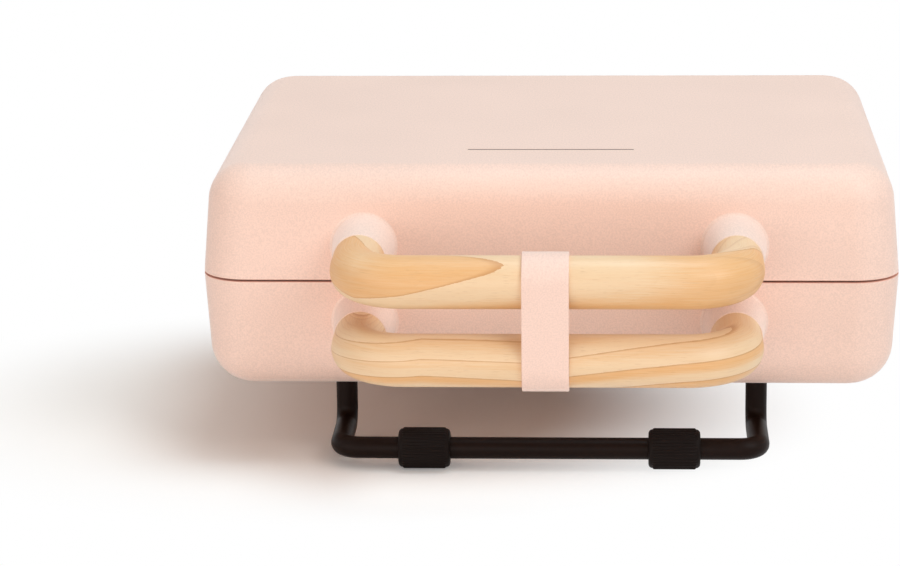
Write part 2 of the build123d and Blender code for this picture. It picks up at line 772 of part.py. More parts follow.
# Wire stands, their cross pins and their feet
foot_spots = {}
for end, toe, leg in (("front", front_y - stand_toe, stand_leg_y[0]), ("rear", back_y + stand_toe, stand_leg_y[1])):
    with BuildPart() as stand:
        with BuildLine() as track:
            FilletPolyline(
                (-stand_half_width, leg, level(lower, leg_top)),
                (-stand_half_width, leg, foot_radius),
                (-stand_half_width, toe, foot_radius),
                (stand_half_width, toe, foot_radius),
                (stand_half_width, leg, foot_radius),
                (stand_half_width, leg, level(lower, leg_top)),
                radius=stand_bend)
        with BuildSketch(track.line ^ 0):
            Circle(wire_radius)
        sweep()
        for x in (-stand_half_width, stand_half_width):
            with BuildSketch(Plane(origin=(x, leg, level(lower, stand_pin_depth)), z_dir=(1, 0, 0))):
                Circle(stand_pin_radius + running_fit)
            extrude(amount=socket_radius, both=True, mode=Mode.SUBTRACT)
    stand.part.label = f"{end}_stand"
    export_step(stand.part, f"parts/{end}_stand.step")

    for side, x in (("left", -foot_inset), ("right", foot_inset)):
        foot_plane = Plane(origin=(x - foot_length / 2, toe, foot_radius), x_dir=(0, 1, 0), z_dir=(1, 0, 0))
        with BuildPart() as envelope:
            with BuildSketch(foot_plane):
                Circle(foot_radius + foot_rib_height / 2)
            extrude(amount=foot_length)
            chamfer(envelope.edges().filter_by(GeomType.CIRCLE), foot_chamfer)
        with BuildPart() as foot:
            with BuildSketch(foot_plane):
                Circle(foot_radius - foot_rib_height)
                with PolarLocations(foot_radius - foot_rib_height, foot_rib_count, start_angle=90):
                    Rectangle(2 * foot_rib_height, foot_rib_width)
            extrude(amount=foot_length)
            add(envelope.part, mode=Mode.INTERSECT)
            with BuildSketch(foot_plane):
                Circle(wire_radius + running_fit)
            extrude(amount=foot_length, mode=Mode.SUBTRACT)
        foot.part.label = f"{end}_foot_{side}"
        export_step(foot.part, f"parts/{end}_foot_{side}.step")

with BuildPart() as stand_pins:
    for x, y in stand_leg_spots:
        with BuildSketch(Plane(origin=(x, y, level(lower, stand_pin_depth)), z_dir=(1, 0, 0))):
            Circle(stand_pin_radius)
        extrude(amount=stand_pin_length / 2, both=True)
stand_pins.part.label = "stand_pins"
export_step(stand_pins.part, "parts/stand_pins.step")

# Pilot light: the guide in the slit, and the board with its lamps behind it
with BuildPart() as light_guide:
    with BuildSketch(Plane((0, slot_y, level(upper, lid_ceiling)))):
        SlotOverall(slot_length - 2 * slide_fit, slot_width - 2 * running_fit)
    extrude(amount=wall - guide_recess)
    with BuildSketch(Plane((0, slot_y, level(upper, lid_ceiling)))):
        RectangleRounded(slot_length + 2 * guide_overlap, slot_width + 2 * guide_overlap, 2 * slot_width)
    extrude(amount=-guide_flange)
light_guide.part.label = "light_guide"
export_step(light_guide.part, "parts/light_guide.step")

with BuildPart() as lamp_board:
    with BuildSketch(Plane((0, slot_y, level(upper, board_top)))):
        Rectangle(board_length, board_width)
        with Locations((board_spots[0], 0), (board_spots[1], 0)):
            Circle(board_screw_radius + running_fit, mode=Mode.SUBTRACT)
    extrude(amount=-board_thickness)
lamp_board.part.label = "lamp_board"
export_step(lamp_board.part, "parts/lamp_board.step")

with BuildPart() as pilot_lamps:
    lamp_height = board_drop - guide_flange - fit
    for x in (-lamp_spacing / 2, lamp_spacing / 2):
        with BuildSketch(Plane((x, slot_y, level(upper, board_top)))):
            Circle(lamp_radius)
        extrude(amount=lamp_height)
    fillet(pilot_lamps.edges().filter_by(GeomType.CIRCLE).group_by(Axis.Z)[-1], lamp_radius / 2)
pilot_lamps.part.label = "pilot_lamps"
export_step(pilot_lamps.part, "parts/pilot_lamps.step")

with BuildPart() as board_screws:
    for x in board_spots:
        start = (x, slot_y, level(upper, board_top - board_thickness))
        add(screw(start, (0, 0, 1), board_thickness + board_drop - fit, board_screw_radius,
                  board_screw_head_radius, board_screw_head_height))
board_screws.part.label = "board_screws"
export_step(board_screws.part, "parts/board_screws.step")

# Mains inlet bush: a flanged gland in the back wall, open for the cord
with BuildPart() as cord_bush:
    bush_z = level(lower, bush_depth)
    with BuildSketch(facing_back(bush_x, bush_y - wall, bush_z)):
        Circle(bush_flange_radius)
    extrude(amount=wall + bush_flange)
    add(drafted_form(lower, 0, half_gap, base_drop, rounded=True), mode=Mode.SUBTRACT)
    with BuildSketch(facing_back(bush_x, bush_y + bush_flange / 2, bush_z)):
        Circle(bush_radius)
    extrude(amount=-(bush_inside + bush_flange / 2))
    with BuildSketch(facing_back(bush_x, bush_y + bush_flange, bush_z)):
        Circle(bush_bore_radius)
    extrude(amount=-2 * (bush_inside + bush_flange), mode=Mode.SUBTRACT)
cord_bush.part.label = "cord_bush"
export_step(cord_bush.part, "parts/cord_bush.step")

# Terminal block on the base's floor
terminal_y = back_y - terminal_setback
with BuildPart() as terminal_block:
    with BuildSketch(Plane((bush_x, terminal_y, level(lower, base_floor)))):
        Rectangle(terminal_length, terminal_width)
    extrude(amount=terminal_height)
    with BuildSketch(Plane((bush_x, terminal_y, level(lower, base_floor) + terminal_height))):
        with GridLocations(terminal_length / terminal_ways, 0, terminal_ways, 1):
            Circle(terminal_well_radius)
    extrude(amount=-terminal_well_depth, mode=Mode.SUBTRACT)
terminal_block.part.label = "terminal_block"
export_step(terminal_block.part, "parts/terminal_block.step")

# Thermostat under the lower reflector, and the fuse behind the upper one
with BuildPart() as thermostat:
    with BuildSketch(flat(lower, reflector_depth)):
        RectangleRounded(thermostat_plate, 2 * thermostat_cap_radius, 2 * sheet)
    extrude(amount=-sheet)
    with BuildSketch(flat(lower, reflector_depth + sheet)):
        Circle(thermostat_radius)
    extrude(amount=-thermostat_height)
    with BuildSketch(flat(lower, reflector_depth + sheet + thermostat_height)):
        Circle(thermostat_cap_radius)
    extrude(amount=-thermostat_cap_height)
thermostat.part.label = "thermostat"
export_step(thermostat.part, "parts/thermostat.step")

fuse_depth = reflector_depth + sheet + fuse_radius
with BuildPart() as thermal_fuse:
    with BuildSketch(Plane(origin=(-fuse_length / 2, body_y, level(upper, fuse_depth)), z_dir=(1, 0, 0))):
        Circle(fuse_radius)
    extrude(amount=fuse_length)
    with BuildSketch(flat(upper, reflector_depth)):
        Rectangle(fuse_length / 2, 2 * (fuse_radius + sheet))
    extrude(amount=sheet + fuse_radius)
thermal_fuse.part.label = "thermal_fuse"
export_step(thermal_fuse.part, "parts/thermal_fuse.step")


def lead(points):
    """An insulated lead along straight runs joined by arcs."""
    with BuildPart() as wire:
        with BuildLine() as route:
            FilletPolyline(*points, radius=lead_bend)
        with BuildSketch(route.line ^ 0):
            Circle(lead_radius)
        sweep()
    return wire.part


# Leads in the base: block to thermostat, thermostat to element, block to element
lead_z = level(lower, lead_depth)
pin_z = level(lower, heater_depth + heater_pin_radius)
pin_middle = far_y + heater_pin_length / 2
block_front = terminal_y - terminal_width / 2
block_left = bush_x - terminal_length / 2
with BuildPart() as base_wiring:
    add(lead([(bush_x, block_front, lead_z), (bush_x, body_y, lead_z),
              (thermostat_cap_radius, body_y, lead_z)]))
    add(lead([(-thermostat_cap_radius, body_y, lead_z), (-end_x, body_y, lead_z),
              (-end_x, pin_middle, lead_z), (-end_x, pin_middle, pin_z)]))
    add(lead([(block_left, terminal_y, lead_z), (end_x, terminal_y, lead_z),
              (end_x, pin_middle, lead_z), (end_x, pin_middle, pin_z)]))
base_wiring.part.label = "base_wiring"
export_step(base_wiring.part, "parts/base_wiring.step")

# Leads in the lid: board to fuse, and fuse to element
board_back = level(upper, board_top - board_thickness)
fuse_z = level(upper, fuse_depth)
upper_pin_z = level(upper, heater_depth + heater_pin_radius)
with BuildPart() as lid_wiring:
    add(lead([(end_x, slot_y, board_back), (end_x, slot_y, fuse_z), (end_x, body_y, fuse_z),
              (fuse_length / 2, body_y, fuse_z)]))
    add(lead([(-fuse_length / 2, body_y, fuse_z), (-end_x, body_y, fuse_z),
              (-end_x, pin_middle, fuse_z), (-end_x, pin_middle, upper_pin_z)]))
lid_wiring.part.label = "lid_wiring"
export_step(lid_wiring.part, "parts/lid_wiring.step")
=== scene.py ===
# %% [markdown]
# # Dressing a waffle maker with wooden handles
#
# The machine's construction comes packed as a frame: every housing, plate, screw and pin is there at its real
# size, on the body that it moves with. This notebook gives those pieces their looks. Big plain forms are taken
# over and their edges broken, bent and turned forms are modelled again with bmesh operators, and each finish is
# built from shader nodes. Everything is in metres, with X to the right, Y to the back and Z up.

# %% The frame
import json
import math
from collections import namedtuple
import bmesh
import bpy
from mathutils import Matrix, Vector


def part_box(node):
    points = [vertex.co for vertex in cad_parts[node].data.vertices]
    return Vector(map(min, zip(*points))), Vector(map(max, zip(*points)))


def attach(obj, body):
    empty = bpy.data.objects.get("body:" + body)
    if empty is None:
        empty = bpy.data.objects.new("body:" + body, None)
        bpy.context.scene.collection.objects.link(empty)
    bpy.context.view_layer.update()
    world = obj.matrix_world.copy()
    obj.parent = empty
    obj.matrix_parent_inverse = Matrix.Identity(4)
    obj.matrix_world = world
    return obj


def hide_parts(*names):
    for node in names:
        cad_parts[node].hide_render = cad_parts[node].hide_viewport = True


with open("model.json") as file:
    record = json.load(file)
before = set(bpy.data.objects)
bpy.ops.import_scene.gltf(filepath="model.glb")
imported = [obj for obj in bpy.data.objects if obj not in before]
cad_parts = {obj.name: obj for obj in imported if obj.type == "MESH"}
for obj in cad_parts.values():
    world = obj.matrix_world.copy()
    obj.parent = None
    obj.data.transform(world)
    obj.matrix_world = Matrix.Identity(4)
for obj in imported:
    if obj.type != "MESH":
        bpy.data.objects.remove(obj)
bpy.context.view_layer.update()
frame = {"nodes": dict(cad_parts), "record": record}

nodes = frame["nodes"]

# %% [markdown]
# ## Where things are
#
# A new piece has to sit exactly where the machine has it, so places are read from the frame's boxes and not typed.
# The two cooking plates nearly touch at the seam, a handle's box gives its rod's thickness, and so on. Only sizes
# that no box shows, such as the radius of a bend, are written down here.

# %% Places and sizes
MM = 0.001
centre_y = sum(corner.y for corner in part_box("lower_plate")) / 2
seam_z = (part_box("lower_plate")[1].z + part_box("upper_plate")[0].z) / 2
front_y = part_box("lid_shell")[0].y
seam_half_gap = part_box("upper_plate")[0].z - seam_z
wall = 2.5 * MM
handle_bend = 18 * MM
stand_bend = 7 * MM
print("seam at", round(seam_z / MM, 2), "mm, front wall at", round(front_y / MM, 2), "mm")

# %% [markdown]
# ## Shader maths that reads like maths
#
# A finish is mostly arithmetic on noise and distances, and dozens of Math nodes are hard to read. `Signal` wraps an
# output socket, so that `1 - mask * 0.3` adds the nodes by itself. `Nodes` holds one node tree and adds every other
# kind of node through one method: first the node's settings, then the values or links of its sockets. A `Finish` is
# the tree of a material.

# %% Signals and finishes
class Signal:
    """An output socket that can be added, multiplied and compared, each time through a Math node."""

    def __init__(self, nodes, socket):
        self.nodes = nodes
        self.socket = socket

    def maths(self, operation, *others):
        values = {index: other for index, other in enumerate(others)}
        return self.nodes.node("Math", {"operation": operation}, values)

    def __add__(self, other):
        return self.maths("ADD", self, other)

    __radd__ = __add__

    def __sub__(self, other):
        return self.maths("SUBTRACT", self, other)

    def __rsub__(self, other):
        return self.maths("SUBTRACT", other, self)

    def __mul__(self, other):
        return self.maths("MULTIPLY", self, other)

    __rmul__ = __mul__

    def __truediv__(self, other):
        return self.maths("DIVIDE", self, other)

    def __pow__(self, other):
        return self.maths("POWER", self, other)

    def fraction(self):
        return self.maths("FRACT", self)

    def size(self):
        return self.maths("ABSOLUTE", self)

    def at_least(self, low):
        return self.maths("MAXIMUM", self, low)

    def above(self, low, high):
        """0 below low, 1 above high, and a soft step between them."""
        settings = {"interpolation_type": "SMOOTHSTEP"}
        return self.nodes.node("MapRange", settings, {"Value": self, "From Min": low, "From Max": high})


class Nodes:
    """A node tree that grows by one call for each node."""

    def __init__(self, tree):
        self.tree = tree

    def node(self, kind, settings=None, sockets=None, output=0):
        """Adds a node: its settings first, then its sockets. Returns one output as a signal."""
        made = self.tree.nodes.new("ShaderNode" + kind)
        for key, value in (settings or {}).items():
            setattr(made, key, value)
        for key, value in (sockets or {}).items():
            self.plug(made.inputs[key], value)
        return Signal(self, made.outputs[output])

    def plug(self, socket, value):
        if isinstance(value, Signal):
            self.tree.links.new(value.socket, socket)
        else:
            socket.default_value = value

    def outputs(self, kind, sockets=None):
        """Adds a node and returns all its outputs as signals, by name."""
        made = self.node(kind, None, sockets).socket.node
        return {socket.name: Signal(self, socket) for socket in made.outputs}

    def blend(self, factor, first, second):
        """From the first colour to the second, by a factor."""
        colours = [value if isinstance(value, Signal) else (*value, 1) for value in (first, second)]
        return self.node("Mix", {"data_type": "RGBA"}, {0: factor, 6: colours[0], 7: colours[1]}, output=2)

    def seen_plainly(self):
        """1 for what the camera sees itself, in gloss or through glass."""
        ray = self.outputs("LightPath")
        return ray["Is Camera Ray"].at_least(ray["Is Glossy Ray"]).at_least(ray["Is Transmission Ray"])


class Finish(Nodes):
    """One material under construction."""

    def __init__(self, name, colour=(0.5, 0.5, 0.5), roughness=0.5, metallic=0.0):
        self.material = bpy.data.materials.new(name)
        self.material.use_nodes = True
        super().__init__(self.material.node_tree)
        self.shader = self.tree.nodes["Principled BSDF"]
        self.give("Base Color", (*colour, 1))
        self.give("Roughness", roughness)
        self.give("Metallic", metallic)

    def give(self, socket, value):
        self.plug(self.shader.inputs[socket], value)

    def place(self, scale=(1, 1, 1), attribute=None):
        """Object coordinates, or an attribute of the mesh, stretched by a scale."""
        if attribute:
            source = self.node("Attribute", {"attribute_name": attribute}, output="Vector")
        else:
            source = self.node("TexCoord", output="Object")
        return self.node("Mapping", None, {"Vector": source, "Scale": scale})

    def noise(self, where, scale, detail=2.0, roughness=0.5):
        return self.node("TexNoise", None, {"Vector": where, "Scale": scale, "Detail": detail, "Roughness": roughness})

    def bump(self, height, distance, strength=1.0):
        self.give("Normal", self.node("Bump", None, {"Height": height, "Distance": distance, "Strength": strength}))


def srgb(*levels):
    """A colour as a screen shows it, 0 to 255, turned into the linear values that a shader wants."""
    shares = [level / 255 for level in levels]
    return tuple(share / 12.92 if share < 0.04045 else ((share + 0.055) / 1.055) ** 2.4 for share in shares)


# %% [markdown]
# ## The finishes
#
# The housings are moulded and then painted with a soft-touch lacquer: pale pink, quite matt, with a speckle so fine
# that it only takes the shine off. The colour therefore varies a little from grain to grain, and a bump of a few
# hundredths of a millimetre breaks up the highlights. The collars get a paler pink, which is painted light for the
# strong light on their tops. Light that gets into the seam bounces from rim to rim and comes out darker and redder,
# which painted shade on the two rims, a darker and redder pink, stands for.

# %% Soft-touch pink
grains_per_metre, clouds_per_metre = 1700, 18
# painted shade for the seam: a darker, redder pink, and the band of heights beside the seam that gets it
painted_seam_shade, seam_shade_band = srgb(243, 170, 138), (0.2 * MM, 0.7 * MM)


def soft_touch(name, colour, speckle=0.065, roughness=0.55, grain=0.02 * MM, seam=False):
    """speckle is how much lighter and darker the grains are, grain how high they stand."""
    finish = Finish(name)
    fine = finish.noise(finish.place((1, 0.45, 1)), grains_per_metre, detail=2)
    broad = finish.noise(finish.place(), clouds_per_metre, detail=1)
    light = tuple(min(1.0, value * (1 + speckle)) for value in colour)
    dark = tuple(value * (1 - speckle) for value in colour)
    lacquer = finish.blend((fine * 0.8 + broad * 0.2).above(0.3, 0.7), dark, light)
    if seam:
        # painted shade: the two rims beside the seam turn darker and redder, for light shaded and bounced in the gap
        from_seam = (finish.outputs("SeparateXYZ", {0: finish.place()})["Z"] - seam_z).size()
        lacquer = finish.blend(1 - from_seam.above(*seam_shade_band), lacquer, painted_seam_shade)
    finish.give("Base Color", lacquer)
    finish.give("Roughness", roughness - 0.05 + fine * 0.1)
    finish.give("Sheen Weight", 0.35)
    finish.give("Sheen Roughness", 0.4)
    finish.bump(fine, grain, 0.5)
    return finish.material


shell_pink = soft_touch("shell_pink", srgb(248, 213, 196), seam=True)
# painted light: the collars' paler pink stands for the strong light that their tops catch
collar_pink_painted_light = soft_touch("collar_pink_painted_light", srgb(249, 219, 204))
strap_pink = soft_touch("strap_pink", srgb(248, 214, 198), speckle=0.06, roughness=0.6, grain=0.01 * MM)
print("pinks:", shell_pink.name, collar_pink_painted_light.name, strap_pink.name)

# %% [markdown]
# ## Bent maple
#
# A bent dowel's grain follows the bend, so object coordinates won't do. The handle's mesh carries a `grain`
# attribute instead: how far along the rod a point is from its middle, how far out of the bow and how far up. A
# growth ring is a nearly flat layer through the rod, so one cosine gives the layers. A dowel is never cut quite along
# them: they shift as they run to either side of a turning point, and where a layer leaves the rod at a shallow angle,
# it draws the long pointed figure that joiners call a cathedral. Each ring starts with a thin brown line, goes on in
# honey and ends pale.

# %% Maple
Drift = namedtuple("Drift", "slope curve twist bend away")
Honey = namedtuple("Honey", "depth gain first last")
pale_wood, honey_wood = srgb(242, 208, 167), srgb(235, 180, 120)
line_brown, faint_brown, pore_brown = srgb(192, 128, 70), srgb(196, 136, 84), srgb(186, 132, 86)
line_width = 0.6 * MM


def maple(name, tilt, turning, left, right, first, pitch, honey, line_depth):
    """tilt turns the layers about the rod. left and right say how they drift on each side of the turning point: in
    proportion to the run, to its square, by how much they twist, and from which run on they bend away by how much.
    first is the place of one ring's line, and pitch the width of a ring. The honey gains depth from the first to the
    last of two rings."""
    finish = Finish(name)
    run, out, up = finish.outputs("SeparateXYZ", {0: finish.place(attribute="grain")}).values()
    sway = finish.noise(finish.place((14, 50, 50), "grain"), 1.0) - 0.5
    fibre = finish.noise(finish.place((90, 2400, 2400), "grain"), 1.0, detail=3, roughness=0.6)
    layer = out * math.cos(math.radians(tilt)) + up * math.sin(math.radians(tilt)) + sway * (1.3 * MM)
    on_arms = 0
    for side, drift in ((-1, left), (1, right)):
        reach = ((run - turning) * side).at_least(0)
        past_bend = (reach - drift.bend).at_least(0)
        layer = layer + reach * drift.slope + reach * reach * drift.curve
        layer = layer + reach * up * drift.twist + past_bend * drift.away
        on_arms = past_bend.above(20 * MM, 40 * MM) + on_arms
    ring_number = (layer + (fibre - 0.5) * (0.3 * MM) - first) / pitch
    ring = ring_number.fraction()
    line = 1 - ring.above(0.0, line_width / abs(pitch))
    faint_line = 1 - ((layer - first) / (pitch * 0.21)).fraction().above(0.0, 0.3)
    pores = finish.noise(finish.place((260, 3800, 3800), "grain"), 1.0, detail=1).above(0.6, 0.75)
    deep = (1 - ring.above(0.28, 0.72)) * (honey.depth + ring_number.above(honey.first, honey.last) * honey.gain)
    wood = finish.blend(deep + fibre - 0.5, pale_wood, honey_wood)
    wood = finish.blend(line * line_depth, wood, line_brown)
    wood = finish.blend(faint_line * (on_arms * 0.25 + 0.03), wood, faint_brown)
    wood = finish.blend(pores * 0.2, wood, pore_brown)
    finish.give("Base Color", wood)
    finish.give("Roughness", 0.34 + fibre * 0.12)
    finish.bump(fibre - pores * 0.5, 0.03 * MM, 0.4)
    return finish.material


upper_maple = maple("upper_maple", tilt=52, turning=-13.8 * MM, left=Drift(0.1, 1.7, 0, 49 * MM, -0.6),
                    right=Drift(-0.068, 0, -8, 45 * MM, -0.12), first=9.35 * MM, pitch=17.5 * MM,
                    honey=Honey(0.9, 0, 0, 1), line_depth=0.55)
lower_maple = maple("lower_maple", tilt=95, turning=-5 * MM, left=Drift(-0.05, 0, 4, 38 * MM, 0.15),
                    right=Drift(-0.16, 0.6, 0, 90 * MM, 0), first=0.8 * MM, pitch=-6.9 * MM,
                    honey=Honey(0.32, 0.58, 0.9, 1.1), line_depth=0.65)
print("maples:", upper_maple.name, lower_maple.name)

# %% [markdown]
# ## Small finishes
#
# The rest is black powder coat and rubber outside, and coated castings, grey mouldings, sheet and tube inside. Each
# still gets what the eye expects of it: the orange peel of powder coat, rolled lines on sheet, heat colours on the
# element, a fleck in the non-stick coating.

# %% Metals, rubber and mouldings
def powder_coat(name, colour):
    finish = Finish(name, colour, 0.4)
    peel = finish.noise(finish.place(), 900, detail=2)
    finish.give("Roughness", 0.34 + peel * 0.14)
    finish.give("Specular IOR Level", 0.09)
    finish.bump(peel, 0.03 * MM, 0.5)
    return finish.material


def moulding(name, colour, roughness=0.5, grain=0.015 * MM, shine=0.5):
    finish = Finish(name, colour, roughness)
    finish.give("Specular IOR Level", shine)
    spark = finish.noise(finish.place(), 1800, detail=2)
    wear = finish.noise(finish.place(), 60, detail=3)
    light = tuple(value * 1.12 + 0.004 for value in colour)
    finish.give("Base Color", finish.blend(wear, colour, light))
    finish.give("Roughness", roughness - 0.06 + spark * 0.12)
    finish.bump(spark, grain, 0.5)
    return finish.material


def non_stick(name):
    finish = Finish(name, (0.03, 0.03, 0.032), 0.38)
    fleck = finish.noise(finish.place(), 2400, detail=2).above(0.66, 0.74)
    haze = finish.noise(finish.place(), 40, detail=3)
    finish.give("Base Color", finish.blend(fleck * 0.35, (0.028, 0.028, 0.03), (0.16, 0.16, 0.165)))
    finish.give("Roughness", 0.3 + haze * 0.16)
    finish.bump(finish.noise(finish.place(), 700, detail=2), 0.02 * MM, 0.5)
    return finish.material


def metal(name, colour, roughness, stretch=(1, 1, 1), tint=None):
    finish = Finish(name, colour, roughness, 1.0)
    lines = finish.noise(finish.place(stretch), 900, detail=3, roughness=0.7)
    if tint:
        heat = finish.noise(finish.place(), 14, detail=2).above(0.35, 0.65)
        finish.give("Base Color", finish.blend(heat, colour, tint))
    finish.give("Roughness", roughness - 0.08 + lines * 0.16)
    finish.bump(lines, 0.01 * MM, 0.3)
    return finish.material


def clear(name, colour, alpha, glow=None):
    finish = Finish(name, colour, 0.12)
    cloud = finish.noise(finish.place(), 220, detail=1)
    finish.give("Alpha", alpha + cloud * 0.05)
    if glow:
        finish.give("Emission Color", (*glow, 1))
        finish.give("Emission Strength", 0.4)
    return finish.material


finishes = {
    "shell_pink": shell_pink,
    "strap_pink": strap_pink,
    "maple": upper_maple,
    "stand_black": powder_coat("stand_black", srgb(27, 15, 10)),
    "foot_rubber": moulding("foot_rubber", srgb(20, 11, 8), 0.5, shine=0.08),
    "plate_coating": non_stick("plate_coating"),
    "frame_grey": moulding("frame_grey", srgb(150, 146, 144), 0.5),
    "catch_grey": moulding("catch_grey", srgb(70, 68, 68), 0.45),
    "sheet_steel": metal("sheet_steel", (0.72, 0.72, 0.7), 0.32, (1, 0.02, 1)),
    "element_steel": metal("element_steel", (0.42, 0.38, 0.34), 0.4, tint=(0.3, 0.24, 0.26)),
    "steel": metal("steel", (0.62, 0.62, 0.6), 0.3),
    "spring_steel": metal("spring_steel", (0.5, 0.5, 0.52), 0.28),
    # painted shade: the light guide is near black, partly its own unlit amber and partly the shade of a deep slit
    "light_guide_amber": moulding("light_guide_amber", srgb(52, 36, 30), 0.5, shine=0.0),
    "board_green": moulding("board_green", srgb(44, 104, 66), 0.4),
    "lamp_glass": clear("lamp_glass", srgb(240, 120, 70), 0.6, srgb(255, 120, 50)),
    "ceramic": moulding("ceramic", srgb(226, 221, 210), 0.6),
    "bush_black": moulding("bush_black", srgb(46, 44, 44), 0.5),
    "lead_insulation": moulding("lead_insulation", srgb(214, 208, 198), 0.75, 0.05 * MM),
}
for part in frame["record"]["subparts"]:
    carried = nodes[part["node"]]
    carried.data.materials.clear()
    carried.data.materials.append(finishes[part["material_slot"]])
print("finishes:", len(finishes))

# %% [markdown]
# ## From bmesh to finished piece
#
# Every new piece ends the same way: its doubles are merged, its faces turned outwards, its sharp creases marked and
# the rest shaded smooth. A weighted normal modifier keeps flat faces flat beside a rounded edge. Then the piece is
# hung on its body, and stands for the nodes whose place it takes.

# %% Finishing a piece
def finish_piece(name, shape, material, body, stands_for, crease=35):
    bmesh.ops.remove_doubles(shape, verts=shape.verts, dist=0.002 * MM)
    bmesh.ops.recalc_face_normals(shape, faces=shape.faces)
    for face in shape.faces:
        face.smooth = True
    for edge in shape.edges:
        edge.smooth = edge.calc_face_angle(0) < math.radians(crease)
    mesh = bpy.data.meshes.new(name)
    shape.to_mesh(mesh)
    shape.free()
    mesh.materials.append(material)
    made = bpy.data.objects.new(name, mesh)
    bpy.context.scene.collection.objects.link(made)
    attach(made, body)
    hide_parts(*stands_for)
    print(name, "has", len(mesh.polygons), "faces")
    return made


def even_shading(piece):
    piece.modifiers.new("even_shading", "WEIGHTED_NORMAL").keep_sharp = True


def soften(shape, edges, width, segments=3):
    """Rounds edges off."""
    bmesh.ops.bevel(shape, geom=edges, offset=width, offset_type="OFFSET", segments=segments, profile=0.5,
                    affect="EDGES", clamp_overlap=True, material=-1)


# %% [markdown]
# ## Taking over a CAD piece
#
# The housings, frames and plates are already right in the frame, with every post, vent and peg. Their meshes are
# loose triangles, though, and their edges can't be rounded. On a merged copy they can: doubles are joined, flat areas
# made whole again, and then the crisp edges get the small radius that any moulding or casting has.

# %% Merged copies with broken edges
def merged_copy(node):
    shape = bmesh.new()
    shape.from_mesh(nodes[node].data)
    bmesh.ops.remove_doubles(shape, verts=shape.verts, dist=0.002 * MM)
    flat = math.radians(0.05)
    bmesh.ops.dissolve_limit(shape, angle_limit=flat, verts=shape.verts, edges=shape.edges, delimit=set())
    return shape


def crisp(shape, chosen, angle=40):
    """The convex edges sharper than an angle, among those that a test picks."""
    limit = math.radians(angle)
    return [edge for edge in shape.edges
            if edge.is_manifold and edge.is_convex and edge.calc_face_angle(0) > limit and chosen(edge)]


def at_height(z):
    return lambda edge: all(abs(vert.co.z - z) < 0.01 * MM for vert in edge.verts)


for node, body, rim in (("lid_shell", "lid", seam_z + seam_half_gap), ("base_shell", "base", seam_z - seam_half_gap)):
    housing = merged_copy(node)
    soften(housing, crisp(housing, at_height(rim), 60), 0.35 * MM)
    name = node.replace("shell", "housing")
    even_shading(finish_piece(name, housing, shell_pink, body, [node], 28))

# %% [markdown]
# ## The bent handles
#
# A dowel bent in steam is a circle pushed along straight runs and spun through two bends, so that is how it is
# modelled. The same helper bends the wire of the stands. At each end the dowel steps down to a tenon that goes into
# the collar.

# %% Bent rods
def new_edges(shape, geometry):
    """The edges of the ring that an extrude or a spin ended on."""
    verts = {item for item in geometry if isinstance(item, bmesh.types.BMVert)}
    return [edge for edge in shape.edges if edge.verts[0] in verts and edge.verts[1] in verts]


def push(shape, ring, offset):
    grown = bmesh.ops.extrude_edge_only(shape, edges=ring)["geom"]
    verts = [item for item in grown if isinstance(item, bmesh.types.BMVert)]
    bmesh.ops.translate(shape, verts=verts, vec=offset)
    return new_edges(shape, verts)


def bent_rod(radius, corners, bend, sides=64, steps=16):
    """A round rod along straight runs, with a bend of one radius at each corner between them."""
    shape = bmesh.new()
    ahead = (corners[1] - corners[0]).normalized()
    start = Matrix.Translation(corners[0]) @ ahead.to_track_quat("Z", "Y").to_matrix().to_4x4()
    bmesh.ops.create_circle(shape, cap_ends=False, segments=sides, radius=radius, matrix=start)
    ring, here = list(shape.edges), corners[0]
    for before, corner, after in zip(corners, corners[1:], corners[2:]):
        coming, going = (corner - before).normalized(), (after - corner).normalized()
        turn, axis = coming.angle(going), coming.cross(going).normalized()
        setback = bend * math.tan(turn / 2)
        entry = corner - coming * setback
        ring = push(shape, ring, entry - here)
        pivot = entry + axis.cross(coming) * bend
        verts = list({vert for edge in ring for vert in edge.verts})
        spun = bmesh.ops.spin(shape, geom=verts + ring, cent=pivot, axis=axis, angle=turn, steps=steps)
        ring, here = new_edges(shape, spun["geom_last"]), corner + going * setback
    push(shape, ring, corners[-1] - here)
    bmesh.ops.holes_fill(shape, edges=shape.edges, sides=sides)
    return shape


def rod_ends(shape, sides=64):
    return [face for face in shape.faces if len(face.verts) == sides]


# %% Handles with their grain
tenon_radius = 7.3 * MM
tenon_length = 15.0 * MM


def grain_at(point, arm, bar_y, middle_z):
    """How far along the bow a point is from its middle, how far out of it, and how far up."""
    side = -1 if point.x < 0 else 1
    across, back = abs(point.x) - (arm - handle_bend), point.y - (bar_y + handle_bend)
    straight, arc = arm - handle_bend, handle_bend * math.pi / 2
    if across <= 0:
        run, out = abs(point.x), bar_y - point.y
    elif back >= 0:
        run, out = straight + arc + back, abs(point.x) - arm
    else:
        run = straight + handle_bend * math.atan2(across, -back)
        out = math.hypot(across, back) - handle_bend
    return side * run, out, point.z - middle_z


